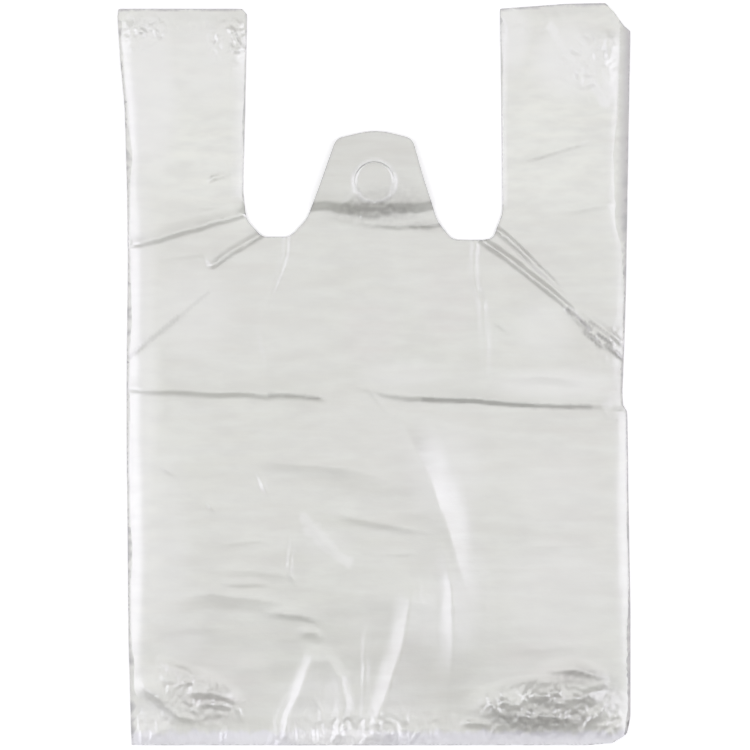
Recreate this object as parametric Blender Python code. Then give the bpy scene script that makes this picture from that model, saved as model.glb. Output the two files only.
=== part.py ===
"""A carrier bag of thin white film, lying flat and empty: one folded tube of film, sealed along its foot and along
the top of each loop handle, open at the mouth between the handles, with a hanging tab at the middle of the mouth.

Metres, +Z up. The bag lies on its back panel. X runs across it and Y runs from the foot seal up to the handles.
The origin is on the floor, under the middle of the bag's bounding box.
"""

import math

import bmesh
import bpy
from mathutils import Vector
from mathutils.geometry import delaunay_2d_cdt

# Outline of the folded bag
BODY_WIDTH = 0.3024
BAG_LENGTH = 0.4490
LEFT_LEAN = 0.0056
LEFT_LEAN_START = 0.1150
LEFT_TOP_DROP = 0.0035
RIGHT_LEAN = 0.0018
RIGHT_WAIST = 0.0032
RIGHT_WAIST_BELOW_TOP = 0.2425
RIGHT_WAIST_NICK = 0.0050
FOOT_TAPER = 0.0022
FOOT_CORNER_RADIUS = 0.0100
SHARP_CORNER_RADIUS = 0.0012

# Handles and the two notches of the mouth
LEFT_HANDLE_WIDTH = 0.0700
RIGHT_HANDLE_WIDTH = 0.0762
HANDLE_FLARE = 0.0022
MOUTH_DEPTH = 0.1418
NOTCH_RADIUS = 0.0180
LEFT_NOTCH_FLOOR = 0.0036
RIGHT_NOTCH_FLOOR = 0.0014
CORNER_CUT_ACROSS = 0.0150
CORNER_CUT_DOWN = 0.0165
RIGHT_TOP_RISE = 0.0034

# Hanging tab, with its punched hang hole whose slug still hangs in place
TAB_OFFSET = 0.0014
TAB_HEIGHT = 0.0650
TAB_TOP_WIDTH = 0.0440
TAB_CROWN = 0.0028
TAB_BASE_RADIUS = 0.0210
TAB_TOP_RADIUS = 0.0065
TAB_CROWN_RADIUS = 0.0600
HANG_HOLE_RADIUS = 0.0120
HANG_HOLE_BELOW_TAB_TOP = 0.0310
PUNCH_GAP = 0.0006
SLUG_HINGE_DEGREES = 56.0

# Film, seals and side gussets
FILM = 0.0003
LAYER_GAP = 0.0003
GUSSET_DEPTH = 0.0860
FOOT_SEAL = 0.0090
HANDLE_SEAL = 0.0100
SEAL_THICKNESS = 4 * FILM

# How high the front panel stands above the layers under it
EDGE_LOFT = 0.0010
EDGE_ROLL = 0.0080
BODY_LOFT = 0.0022
BODY_LOFT_CENTRE = 0.30
MOUTH_SINK_REACH = 0.1100
GUSSET_STEP = 0.0090
TAB_LIFT = 0.0034
TAB_LIFT_START = 0.0085
TAB_LIFT_RISE = 0.0095

# Fineness of the shaped sheet
SHEET_MARGIN = 0.0060
SHEET_GRID = 0.0150
FOLD_CLEARANCE = 0.0035
LINE_STEP = 0.0110
LINE_OVERRUN = 0.0023
CUTTER_REACH = 0.0200
ARC_STEP_DEGREES = 12.0
SEAL_LINES = (-0.05, 0.45, 1.05)

FILM_COLOUR = (0.72, 0.72, 0.69, 1.0)
FILM_ROUGHNESS = 0.32

# Levels of the stacked layers at the gussets
BACK_TOP = FILM
LOWER_GUSSET_BOTTOM = BACK_TOP + LAYER_GAP
LOWER_GUSSET_TOP = LOWER_GUSSET_BOTTOM + FILM
UPPER_GUSSET_BOTTOM = LOWER_GUSSET_TOP + LAYER_GAP
UPPER_GUSSET_TOP = UPPER_GUSSET_BOTTOM + FILM
FOUR_LAYERS = UPPER_GUSSET_TOP + LAYER_GAP + FILM
TWO_LAYERS = BACK_TOP + LAYER_GAP + FILM

# Places worked out from the sizes above
LEFT_X = -(BODY_WIDTH + RIGHT_LEAN - LEFT_LEAN) / 2
RIGHT_X = LEFT_X + BODY_WIDTH
MIDDLE_X = (LEFT_X + RIGHT_X) / 2
FOOT_Y = -BAG_LENGTH / 2
TOP_Y = BAG_LENGTH / 2
NOTCH_Y = TOP_Y - MOUTH_DEPTH
LEFT_GUSSET_X = LEFT_X + GUSSET_DEPTH
RIGHT_GUSSET_X = RIGHT_X - GUSSET_DEPTH
LEFT_HANDLE_X = LEFT_X + LEFT_HANDLE_WIDTH
RIGHT_HANDLE_X = RIGHT_X - RIGHT_HANDLE_WIDTH
TAB_MIDDLE_X = (LEFT_HANDLE_X + RIGHT_HANDLE_X) / 2 + TAB_OFFSET
TAB_TOP_Y = NOTCH_Y + TAB_HEIGHT

# Folds pressed into the front panel. A place is (across, up): across runs from -1 at the left edge to 1 at the
# right edge, and up from 0 at the foot to 1 at the notches and 2 at the handle tops. Each point has its height.
# The widths are those of the slope to the left and to the right of the fold's direction.
FOLDS = {
    "half_fold_left": (0.0140, 0.0034, [(-1.05, 0.70, 0.0010), (-0.59, 0.69, 0.0016), (-0.19, 0.68, 0.0)]),
    "half_fold_right": (0.0150, 0.0040, [(-0.10, 0.70, 0.0), (0.16, 0.68, 0.0018), (0.50, 0.67, 0.0017),
                                         (0.93, 0.66, 0.0006), (1.06, 0.66, 0.0006)]),
    "left_handle_fold": (0.0100, 0.0032, [(-1.05, 0.98, 0.0012), (-0.75, 1.04, 0.0014), (-0.52, 1.10, 0.0010)]),
    "left_notch_fold": (0.0070, 0.0030, [(-0.66, 0.93, 0.0), (-0.55, 0.97, 0.0013), (-0.44, 1.01, 0.0014)]),
    "left_side_fold": (0.0080, 0.0034, [(-1.04, 0.75, 0.0008), (-0.84, 0.83, 0.0009), (-0.66, 0.90, 0.0)]),
    "right_notch_fold": (0.0040, 0.0036, [(0.40, 1.02, 0.0016), (0.57, 0.94, 0.0018), (0.79, 0.84, 0.0016),
                                          (0.92, 0.78, 0.0012), (1.05, 0.72, 0.0010)]),
    "right_handle_fold": (0.0060, 0.0032, [(0.47, 1.06, 0.0015), (0.62, 0.96, 0.0013), (0.80, 0.87, 0.0)]),
    "tab_root_fold": (0.0045, 0.0030, [(-0.34, 1.045, 0.0009), (0.0, 1.04, 0.0013), (0.32, 1.04, 0.0011)]),
    "middle_streak": (0.0080, 0.0100, [(0.09, 0.64, 0.0), (0.24, 0.56, 0.0017), (0.31, 0.46, 0.0024),
                                       (0.37, 0.32, 0.0012), (0.43, 0.27, 0.0)]),
    "belly_fold_high": (0.0120, 0.0050, [(-0.47, 0.55, 0.0), (-0.16, 0.545, 0.0008), (0.10, 0.51, 0.0)]),
    "belly_fold_low": (0.0110, 0.0040, [(-0.31, 0.46, 0.0), (-0.08, 0.44, 0.0009), (0.20, 0.41, 0.0)]),
    "foot_fan_one": (0.0045, 0.0045, [(-0.38, 0.03, 0.0016), (-0.31, 0.11, 0.0018), (-0.25, 0.18, 0.0)]),
    "foot_fan_two": (0.0040, 0.0040, [(-0.13, 0.03, 0.0014), (-0.15, 0.11, 0.0016), (-0.21, 0.17, 0.0)]),
    "foot_fan_three": (0.0060, 0.0055, [(-0.04, 0.04, 0.0018), (0.01, 0.11, 0.0024), (0.07, 0.20, 0.0014),
                                        (0.12, 0.28, 0.0)]),
    "foot_fan_four": (0.0045, 0.0050, [(0.28, 0.14, 0.0), (0.26, 0.28, 0.0020), (0.235, 0.38, 0.0)]),
    "left_corner_crumple_low": (0.0050, 0.0036, [(-0.93, 0.13, 0.0), (-0.79, 0.06, 0.0020), (-0.71, 0.02, 0.0)]),
    "left_corner_crumple_high": (0.0060, 0.0034, [(-0.85, 0.16, 0.0), (-0.73, 0.10, 0.0019), (-0.55, 0.08, 0.0)]),
    "right_corner_crumple_low": (0.0055, 0.0040, [(0.34, 0.055, 0.0), (0.52, 0.06, 0.0021), (0.74, 0.07, 0.0024),
                                                  (0.86, 0.04, 0.0)]),
    "right_corner_crumple_high": (0.0060, 0.0035, [(0.62, 0.12, 0.0), (0.72, 0.10, 0.0016), (0.80, 0.125, 0.0018),
                                                   (0.95, 0.12, 0.0)]),
    "right_corner_crumple_side": (0.0040, 0.0040, [(0.97, 0.11, 0.0), (0.90, 0.08, 0.0015), (0.84, 0.04, 0.0)]),
    "left_top_crinkle": (0.0030, 0.0030, [(-0.97, 1.91, 0.0), (-0.90, 1.87, 0.0009), (-0.84, 1.83, 0.0)]),
    "right_top_crinkle": (0.0040, 0.0040, [(0.74, 1.88, 0.0), (0.83, 1.76, 0.0012), (0.91, 1.62, 0.0)]),
    "right_handle_crease": (0.0070, 0.0030, [(0.53, 1.31, 0.0), (0.70, 1.36, 0.0007), (0.86, 1.41, 0.0)]),
}


def clear_scene():
    """Removes whatever the open file holds."""
    for old in list(bpy.data.objects):
        bpy.data.objects.remove(old)


def new_collection(name):
    """A collection in the open scene."""
    collection = bpy.data.collections.new(name)
    bpy.context.scene.collection.children.link(collection)
    return collection


def film_material():
    """White film with a satin sheen."""
    material = bpy.data.materials.new("white_film")
    material.use_nodes = True
    shader = material.node_tree.nodes["Principled BSDF"]
    shader.inputs["Base Color"].default_value = FILM_COLOUR
    shader.inputs["Roughness"].default_value = FILM_ROUGHNESS
    shader.inputs["Metallic"].default_value = 0.0
    return material


def smooth_step(share):
    """0 below 0, 1 above 1, and a smooth rise between."""
    share = min(max(share, 0.0), 1.0)
    return share * share * (3 - 2 * share)


# Outlines


def left_edge(inset):
    """The left edge from the top to the foot, moved into the bag by inset."""
    return [
        (LEFT_X - LEFT_LEAN + inset, TOP_Y - LEFT_TOP_DROP),
        (LEFT_X + inset, TOP_Y - LEFT_LEAN_START),
        (LEFT_X + inset, NOTCH_Y - LEFT_LEAN_START),
        (LEFT_X + FOOT_TAPER + inset, FOOT_Y),
    ]


def right_edge(inset):
    """The right edge from the foot to the cut corner at the top, moved into the bag by inset."""
    waist_y = TOP_Y - RIGHT_WAIST_BELOW_TOP
    return [
        (RIGHT_X + RIGHT_LEAN - inset, FOOT_Y),
        (RIGHT_X + RIGHT_LEAN - inset, (FOOT_Y + waist_y) / 2),
        (RIGHT_X - inset, waist_y - RIGHT_WAIST_NICK),
        (RIGHT_X - RIGHT_WAIST - inset, waist_y),
        (RIGHT_X + RIGHT_LEAN - inset, TOP_Y - CORNER_CUT_DOWN - inset),
    ]


def tab_foot_x(floor_end_x, corner_x, corner_y):
    """Where the side of the tab would meet the notch's floor: the side runs down from the tab's top corner and
    touches the foot's arc, which starts at the end of the flat floor."""
    run = abs(corner_x - floor_end_x)
    rise = corner_y - NOTCH_Y
    spare = rise - 2 * TAB_BASE_RADIUS
    reach = TAB_BASE_RADIUS * (math.sqrt(run ** 2 + rise * spare) - run) / spare
    return floor_end_x + math.copysign(reach, corner_x - floor_end_x)


def bag_corners():
    """The outline of the folded bag as (x, y, corner radius), anticlockwise from the foot's left corner."""
    crown_y = TAB_TOP_Y - TAB_CROWN
    tab_west, tab_east = TAB_MIDDLE_X - TAB_TOP_WIDTH / 2, TAB_MIDDLE_X + TAB_TOP_WIDTH / 2
    left_floor_end = LEFT_HANDLE_X + NOTCH_RADIUS + LEFT_NOTCH_FLOOR
    right_floor_end = RIGHT_HANDLE_X - NOTCH_RADIUS - RIGHT_NOTCH_FLOOR
    left_side = left_edge(0.0)
    right_side = right_edge(0.0)
    corners = [(*left_side[-1], SHARP_CORNER_RADIUS)]
    corners += [(*right_side[0], FOOT_CORNER_RADIUS)]
    corners += [(x, y, 0.0) for x, y in right_side[1:]]
    corners += [
        (RIGHT_X + RIGHT_LEAN - CORNER_CUT_ACROSS, TOP_Y, SHARP_CORNER_RADIUS),
        (RIGHT_HANDLE_X - HANDLE_FLARE / 4, TOP_Y - RIGHT_TOP_RISE, SHARP_CORNER_RADIUS),
        (RIGHT_HANDLE_X, NOTCH_Y, NOTCH_RADIUS),
        (tab_foot_x(right_floor_end, tab_east, crown_y), NOTCH_Y, TAB_BASE_RADIUS),
        (tab_east, crown_y, TAB_TOP_RADIUS),
        (TAB_MIDDLE_X, TAB_TOP_Y, TAB_CROWN_RADIUS),
        (tab_west, crown_y, TAB_TOP_RADIUS),
        (tab_foot_x(left_floor_end, tab_west, crown_y), NOTCH_Y, TAB_BASE_RADIUS),
        (LEFT_HANDLE_X, NOTCH_Y, NOTCH_RADIUS),
        (LEFT_HANDLE_X + HANDLE_FLARE, TOP_Y - LEFT_TOP_DROP, 2 * SHARP_CORNER_RADIUS),
        (*left_side[0], SHARP_CORNER_RADIUS),
    ]
    corners += [(x, y, 0.0) for x, y in left_side[1:-1]]
    return corners


def inside_corners():
    """The space inside the bag seen from above: in from the side folds by one film, and clear of the seals. It
    runs on across the mouth, where the film is cut away."""
    floor_y = FOOT_Y + FOOT_SEAL
    ceiling_y = TOP_Y - RIGHT_TOP_RISE - HANDLE_SEAL
    left_side, right_side = left_edge(FILM), right_edge(FILM)
    cut_share = (TOP_Y - ceiling_y) / CORNER_CUT_DOWN
    cut_x = RIGHT_X + RIGHT_LEAN - CORNER_CUT_ACROSS * (1 - cut_share) - 2 * FILM
    corners = [(side_x(left_side, floor_y), floor_y), (side_x(right_side, floor_y), floor_y)]
    corners += [corner for corner in right_side if floor_y < corner[1] < ceiling_y]
    corners += [(cut_x, ceiling_y), (side_x(left_side, ceiling_y), ceiling_y)]
    corners += [corner for corner in left_side if floor_y < corner[1] < ceiling_y]
    return [(x, y, 0.0) for x, y in corners]


def rounded(corners):
    """The corners' outline with each corner that has a radius turned into an arc."""
    points = []
    for index, (x, y, radius) in enumerate(corners):
        here = Vector((x, y))
        if radius == 0.0:
            points.append(here)
            continue
        before = (Vector(corners[index - 1][:2]) - here).normalized()
        after = (Vector(corners[(index + 1) % len(corners)][:2]) - here).normalized()
        half_angle = before.angle(after) / 2
        setback = radius / math.tan(half_angle)
        centre = here + (before + after).normalized() * (radius / math.sin(half_angle))
        start = here + before * setback - centre
        turn = math.pi - 2 * half_angle
        if before.cross(after) > 0:
            turn = -turn
        steps = max(1, math.ceil(math.degrees(abs(turn)) / ARC_STEP_DEGREES))
        for step in range(steps + 1):
            angle = turn * step / steps
            cosine, sine = math.cos(angle), math.sin(angle)
            points.append(centre + Vector((start.x * cosine - start.y * sine, start.x * sine + start.y * cosine)))
    return points


# Height of the front panel


def edge_positions(y):
    """Where the two side edges lie at this height up the bag."""
    return side_x(left_edge(0.0), y), side_x(right_edge(0.0), y)


def side_x(corners, y):
    """X on a run of straight edges at this y."""
    ordered = sorted(corners, key=lambda corner: corner[1])
    for (x0, y0), (x1, y1) in zip(ordered, ordered[1:]):
        if y <= y1:
            return x0 + (x1 - x0) * max(0.0, (y - y0) / (y1 - y0))
    return ordered[-1][0]


def place(across, up):
    """A fold's place on the front panel, in metres."""
    x = MIDDLE_X + across * BODY_WIDTH / 2
    if up <= 1:
        return Vector((x, FOOT_Y + up * (NOTCH_Y - FOOT_Y)))
    return Vector((x, NOTCH_Y + (up - 1) * (TOP_Y - NOTCH_Y)))


def fold_height(point, folds):
    """How far the highest of the pressed folds stands up at this point."""
    height = 0.0
    for left_width, right_width, route in folds:
        for (start, start_height), (end, end_height) in zip(route, route[1:]):
            along = end - start
            share = (point - start).dot(along) / along.length_squared
            share = min(max(share, 0.0), 1.0)
            offset = point - (start + along * share)
            width = left_width if along.cross(offset) > 0 else right_width
            crest = start_height + (end_height - start_height) * share
            height = max(height, crest * (1 - offset.length / width))
    return height


def resting_height(point):
    """Top of the front panel before its folds: flat over the gussets, lower where it lies straight on the back
    panel near the mouth, lofted over the body, lifted at the tab and pressed down at the seals."""
    x, y = point
    left, right = edge_positions(y)
    height = FOUR_LAYERS
    from_fold = min(x - LEFT_GUSSET_X, RIGHT_GUSSET_X - x) - FILM - LAYER_GAP
    over_middle = smooth_step(from_fold / GUSSET_STEP)
    near_mouth = smooth_step((y - (NOTCH_Y - MOUTH_SINK_REACH)) / MOUTH_SINK_REACH)
    height -= (FOUR_LAYERS - TWO_LAYERS) * over_middle * near_mouth
    height += EDGE_LOFT * smooth_step(min(x - left, right - x) / EDGE_ROLL)
    up = (y - FOOT_Y - FOOT_SEAL) / (NOTCH_Y - FOOT_Y - FOOT_SEAL)
    if 0 < up < 1:
        rise = up / BODY_LOFT_CENTRE if up < BODY_LOFT_CENTRE else (1 - up) / (1 - BODY_LOFT_CENTRE)
        across = 1 - ((x - MIDDLE_X) / (BODY_WIDTH / 2)) ** 2
        height += BODY_LOFT * smooth_step(rise) * max(across, 0.0)
    tab_share = (y - NOTCH_Y - TAB_LIFT_START) / TAB_LIFT_RISE
    height += TAB_LIFT * smooth_step(tab_share) * over_middle
    return height


def seal_share(point):
    """1 on the outer edge of a seal, falling to 0 at its inner edge."""
    from_foot = (point.y - FOOT_Y) / FOOT_SEAL
    from_top = (TOP_Y - RIGHT_TOP_RISE - point.y) / HANDLE_SEAL
    return 1 - smooth_step(min(from_foot, from_top))


def front_height(point, folds):
    """Top of the front panel's film at this point."""
    height = resting_height(point) + fold_height(point, folds)
    sealed = seal_share(point)
    return height * (1 - sealed) + SEAL_THICKNESS * sealed


def fold_routes():
    """The folds with their points in metres: (left width, right width, [(point, height)])."""
    return [
        (left_width, right_width, [(place(across, up), height) for across, up, height in points])
        for left_width, right_width, points in FOLDS.values()
    ]


# The shaped sheet that the front panel's two faces come from


def sheet_lines(folds):
    """The lines that the sheet's triangles follow: each fold's crest and feet, the side folds' rolls, the steps over
    the gusset folds, the seals and the foot of the tab."""
    lines = []
    for left_width, right_width, route in folds:
        lines.append([point for point, _ in route])
        for side, width in ((1, left_width), (-1, right_width)):
            foot = []
            for index, (point, height) in enumerate(route):
                before = route[max(index - 1, 0)][0]
                after = route[min(index + 1, len(route) - 1)][0]
                along = (after - before).normalized()
                reach = width if height > 0 else 0.0
                foot.append(point + Vector((-along.y, along.x)) * (side * reach))
            lines.append(foot)
    for share in (0.5, 1.0):
        roll = EDGE_ROLL * share
        lines.append(past_ends([Vector((x + roll, y)) for x, y in left_edge(0.0)]))
        lines.append(past_ends([Vector((x - roll, y)) for x, y in right_edge(0.0)]))
        step = FILM + LAYER_GAP + GUSSET_STEP * share
        lines.append(past_ends([Vector((LEFT_GUSSET_X + step, y)) for y in (FOOT_Y, NOTCH_Y)]))
        lines.append(past_ends([Vector((RIGHT_GUSSET_X - step, y)) for y in (FOOT_Y, NOTCH_Y)]))
    flat_lines = [FOOT_Y + FOOT_SEAL * share for share in SEAL_LINES]
    flat_lines += [TOP_Y - RIGHT_TOP_RISE - HANDLE_SEAL * share for share in SEAL_LINES]
    flat_lines += [NOTCH_Y + TAB_LIFT_START + TAB_LIFT_RISE * share for share in (0.0, 0.35, 0.65, 1.0)]
    lines += [[Vector((LEFT_X - LEFT_LEAN, y)), Vector((RIGHT_X + RIGHT_LEAN, y))] for y in flat_lines]
    return lines


def grid_points(lines):
    """A rectangle of evenly spaced points round the bag, without those that lie close to a line."""
    west, east = LEFT_X - LEFT_LEAN - SHEET_MARGIN, RIGHT_X + RIGHT_LEAN + SHEET_MARGIN
    south, north = FOOT_Y - SHEET_MARGIN, TOP_Y + SHEET_MARGIN
    columns = round((east - west) / SHEET_GRID)
    rows = round((north - south) / SHEET_GRID)
    points = []
    for column in range(columns + 1):
        for row in range(rows + 1):
            point = Vector((west + (east - west) * column / columns, south + (north - south) * row / rows))
            on_border = column in (0, columns) or row in (0, rows)
            if on_border or all(distance_to(point, line) > FOLD_CLEARANCE for line in lines):
                points.append(point)
    return points


def past_ends(line):
    """The same line, made longer at both ends, so that no corner of the sheet lies on the bag's cut edge."""
    start = line[0] + (line[0] - line[1]).normalized() * LINE_OVERRUN
    end = line[-1] + (line[-1] - line[-2]).normalized() * LINE_OVERRUN
    return [start, *line[1:-1], end]


def stepped(line):
    """The same run of straight pieces with points along it, so that it can bend with the sheet."""
    points = [line[0]]
    for start, end in zip(line, line[1:]):
        steps = max(1, round((end - start).length / LINE_STEP))
        points += [start + (end - start) * (step / steps) for step in range(1, steps + 1)]
    return points


def distance_to(point, line):
    """Distance from a point to a run of straight pieces."""
    nearest = math.inf
    for start, end in zip(line, line[1:]):
        along = end - start
        if along.length_squared == 0:
            continue
        share = min(max((point - start).dot(along) / along.length_squared, 0.0), 1.0)
        nearest = min(nearest, (point - start - along * share).length)
    return nearest


def sheet_block(name, drop, floor_z, collection):
    """A closed block under the front panel's shape, lowered by drop, with a flat bottom at floor_z."""
    folds = fold_routes()
    lines = sheet_lines(folds)
    points = grid_points(lines)
    edges = []
    for line in lines:
        first = len(points)
        points += stepped(line)
        edges += [(start, start + 1) for start in range(first, len(points) - 1)]
    flat, _, faces, *_ = delaunay_2d_cdt(points, edges, [], 0, 0.0001)
    sheet = bmesh.new()
    corners = [sheet.verts.new((point.x, point.y, front_height(point, folds) - drop)) for point in flat]
    for face in faces:
        sheet.faces.new([corners[index] for index in face])
    rim = [edge for edge in sheet.edges if edge.is_boundary]
    walls = bmesh.ops.extrude_edge_only(sheet, edges=rim)["geom"]
    for corner in walls:
        if isinstance(corner, bmesh.types.BMVert):
            corner.co.z = floor_z
    bmesh.ops.holes_fill(sheet, edges=[edge for edge in sheet.edges if edge.is_boundary], sides=0)
    bmesh.ops.recalc_face_normals(sheet, faces=sheet.faces)
    return mesh_object(name, sheet, collection)


def mesh_object(name, built, collection):
    """An object from a finished bmesh."""
    mesh = bpy.data.meshes.new(name)
    built.to_mesh(mesh)
    built.free()
    made = bpy.data.objects.new(name, mesh)
    collection.objects.link(made)
    return made


def prism(name, outline, start, end, collection, along_y=False):
    """A closed prism from a filled 2D curve. Its outline is (x, y) and it runs up from start to end, or its outline
    is (x, z) and it runs along Y."""
    curve = bpy.data.curves.new(name, "CURVE")
    curve.dimensions = "2D"
    curve.fill_mode = "BOTH"
    curve.extrude = (end - start) / 2
    spline = curve.splines.new("POLY")
    spline.points.add(len(outline) - 1)
    for spline_point, (across, up) in zip(spline.points, outline):
        spline_point.co = (across, up, 0.0, 1.0)
    spline.use_cyclic_u = True
    drawn = bpy.data.objects.new(name + "_curve", curve)
    if along_y:
        drawn.rotation_euler.x = math.pi / 2
        drawn.location.y = (end + start) / 2
    else:
        drawn.location.z = (end + start) / 2
    collection.objects.link(drawn)
    bpy.context.view_layer.update()
    graph = bpy.context.evaluated_depsgraph_get()
    mesh = bpy.data.meshes.new_from_object(drawn.evaluated_get(graph))
    solid = bmesh.new()
    solid.from_mesh(mesh)
    bmesh.ops.remove_doubles(solid, verts=solid.verts, dist=0.00001)
    bmesh.ops.recalc_face_normals(solid, faces=solid.faces)
    solid.to_mesh(mesh)
    solid.free()
    made = bpy.data.objects.new(name, mesh)
    made.matrix_world = drawn.matrix_world
    collection.objects.link(made)
    bpy.data.objects.remove(drawn)
    return made


def rectangle(west, east, south, north):
    """Four corners of an upright rectangle, anticlockwise."""
    return [(west, south), (east, south), (east, north), (west, north)]


def combine(made, operation, other):
    """Adds a Boolean to an object."""
    modifier = made.modifiers.new(operation.lower() + "_" + other.name, "BOOLEAN")
    modifier.operation = operation
    modifier.object = other


def hang_hole_slit():
    """The punched slit round the slug: most of a ring, open where the slug hinges at the foot."""
    centre = Vector((TAB_MIDDLE_X, TAB_TOP_Y - HANG_HOLE_BELOW_TAB_TOP))
    half_hinge = math.radians(SLUG_HINGE_DEGREES / 2)
    start, end = -math.pi / 2 + half_hinge, 3 * math.pi / 2 - half_hinge
    steps = math.ceil(math.degrees(end - start) / ARC_STEP_DEGREES)
    outer, inner = [], []
    for step in range(steps + 1):
        angle = start + (end - start) * step / steps
        direction = Vector((math.cos(angle), math.sin(angle)))
        outer.append(centre + direction * (HANG_HOLE_RADIUS + PUNCH_GAP / 2))
        inner.append(centre + direction * (HANG_HOLE_RADIUS - PUNCH_GAP / 2))
    return outer + inner[::-1]


def layers_between(west, east, high):
    """The space inside the bag seen from its foot, as (x, z): between the back and front panels in the middle, and
    between each panel and its gusset layer at the sides."""
    left_fold, right_fold = LEFT_GUSSET_X + FILM, RIGHT_GUSSET_X - FILM
    return [
        (west, BACK_TOP), (east, BACK_TOP), (east, LOWER_GUSSET_BOTTOM), (right_fold, LOWER_GUSSET_BOTTOM),
        (right_fold, UPPER_GUSSET_TOP), (east, UPPER_GUSSET_TOP), (east, high), (west, high),
        (west, UPPER_GUSSET_TOP), (left_fold, UPPER_GUSSET_TOP), (left_fold, LOWER_GUSSET_BOTTOM),
        (west, LOWER_GUSSET_BOTTOM),
    ]


def build_bag():
    """The bag: a block under the front panel's shape, trimmed to the outline, with the space inside the bag and the
    outside air in the gussets cut away, so that film of one thickness is left."""
    collection = new_collection("carrier_bag")
    cutters = new_collection("cutters")
    high = FOUR_LAYERS + CUTTER_REACH
    west, east = LEFT_X - LEFT_LEAN - CUTTER_REACH, RIGHT_X + RIGHT_LEAN + CUTTER_REACH
    south, north = FOOT_Y - CUTTER_REACH, TOP_Y + CUTTER_REACH

    bag = sheet_block("bag", 0.0, -CUTTER_REACH, collection)
    bag.data.materials.append(film_material())
    combine(bag, "INTERSECT", prism("outline", rounded(bag_corners()), 0.0, high, cutters))

    space = prism("inside_space", layers_between(west, east, high), south, north, cutters, along_y=True)
    combine(space, "INTERSECT", prism("inside_outline", rounded(inside_corners()), -high, 2 * high, cutters))
    combine(space, "INTERSECT", sheet_block("under_front_panel", FILM, -CUTTER_REACH, cutters))
    combine(bag, "DIFFERENCE", space)

    foot_y, top_y = FOOT_Y + FOOT_SEAL, TOP_Y - RIGHT_TOP_RISE - HANDLE_SEAL
    for name, from_x, to_x in (("left", west, LEFT_GUSSET_X), ("right", RIGHT_GUSSET_X, east)):
        pocket = rectangle(from_x, to_x, foot_y, top_y)
        cutter = prism(name + "_gusset_pocket", pocket, LOWER_GUSSET_TOP, UPPER_GUSSET_BOTTOM, cutters)
        combine(bag, "DIFFERENCE", cutter)
    combine(bag, "DIFFERENCE", prism("hang_hole_slit", hang_hole_slit(), -CUTTER_REACH, high, cutters))

    for cutter in cutters.objects:
        cutter.hide_render = True
        cutter.display_type = "WIRE"


def main():
    clear_scene()
    build_bag()


main()
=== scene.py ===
"""The film carrier bag as it lies flat on a pale floor: front panel, back panel and two folded side gussets
of thin white film, with soft studio light and a camera that looks straight down. Its folds and crinkles are
in the mesh, and part of their light and dark is in the film's colour as well, through masks on the mesh.

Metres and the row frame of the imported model: X across the bag, Y from its foot to its handles, Z up.
"""

import math

import bmesh
import bpy
import numpy as np
from mathutils import Matrix, Vector
from mathutils.geometry import delaunay_2d_cdt


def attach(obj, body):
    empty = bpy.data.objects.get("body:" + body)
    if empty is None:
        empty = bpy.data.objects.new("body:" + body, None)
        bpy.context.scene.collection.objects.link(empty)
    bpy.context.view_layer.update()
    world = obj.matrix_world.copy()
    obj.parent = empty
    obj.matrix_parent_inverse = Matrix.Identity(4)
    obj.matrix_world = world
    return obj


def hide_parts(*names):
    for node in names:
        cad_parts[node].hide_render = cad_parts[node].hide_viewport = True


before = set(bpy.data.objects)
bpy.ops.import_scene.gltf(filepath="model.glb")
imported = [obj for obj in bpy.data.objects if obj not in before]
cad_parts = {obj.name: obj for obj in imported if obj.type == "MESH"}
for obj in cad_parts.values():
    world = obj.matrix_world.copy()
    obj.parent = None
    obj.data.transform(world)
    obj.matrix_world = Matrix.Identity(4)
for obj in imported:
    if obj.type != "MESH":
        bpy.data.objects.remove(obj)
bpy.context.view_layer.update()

# The photograph's frame: 750 pixels square, looked at straight down
PIXEL = 0.000605
FRAME_PIXELS = 750
ORIGIN_PIXEL = (374.0, 374.25)
LENS = 280.0
SENSOR = 36.0
FOCUS_HEIGHT = 0.003

# The floor, and the white that the camera and gloss see in it
FLOOR_HALF = 3.0
FLOOR_COLOUR = (0.86, 0.86, 0.86, 1.0)
FLOOR_GLOW = 0.45

# The lamps: how far their middles lean from straight above towards +X and +Y and how wide they are, in
# degrees, their radiance and their colour
LAMP_DISTANCE = 6.0
COOL = (0.94, 0.925, 1.0)
PLAIN = (1.0, 1.0, 0.98)
LAMPS = {
    "over_far": ((0, 12), (29, 40), 1.52, PLAIN),
    "over_near": ((0, -15), (29, 14), 0.775, PLAIN),
    "side_left": ((-31, -3), (29, 29), 3.3, COOL),
    "side_right": ((31, -3), (29, 29), 3.3, COOL),
}
# The world's strength at its walls and overhead, and the heights of direction between which it changes
WALL_STRENGTH, OVERHEAD_STRENGTH = 0.58, 0.02
WALL_TOP, OVERHEAD_EDGE = 0.35, 0.70

MM = 0.001

# The levels of the film's layers at rest, in millimetres above the floor
BACK_LEVEL = 0.08
LOWER_GUSSET_LEVEL = 0.55
UPPER_GUSSET_LEVEL = 0.85
GUSSET_FOLD_LEVEL = 0.70
SIDE_FOLD_LEVEL = 0.90
CENTRE_SINK = 0.50
SEAL_LEVEL = 0.42
BODY_LOFT = 1.70
TAB_LIFT = 3.60

# The front panel's bevel at its side folds: its slope, the millimetres over which it is full, and those over
# which it eases off
EDGE_SLOPE = 0.34
EDGE_FULL_RUN = 1.4
EDGE_EASE_RUN = 11.0
# The hems, where only the lower layers lie, in millimetres: the right one is wider at its handle
LEFT_HEM = 1.7
RIGHT_HEM = 0.9
RIGHT_HEM_WIDENING = 5.6
# How far the tab and the mouth's cut edges reach from the tab's middle, in metres
TAB_REACH = 0.055
MOUTH_REACH = 0.081

# Seals and gussets, in millimetres
FOOT_SEAL = 8.0
HANDLE_SEAL = 6.0
GUSSET_DEPTH = 86.0

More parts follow.
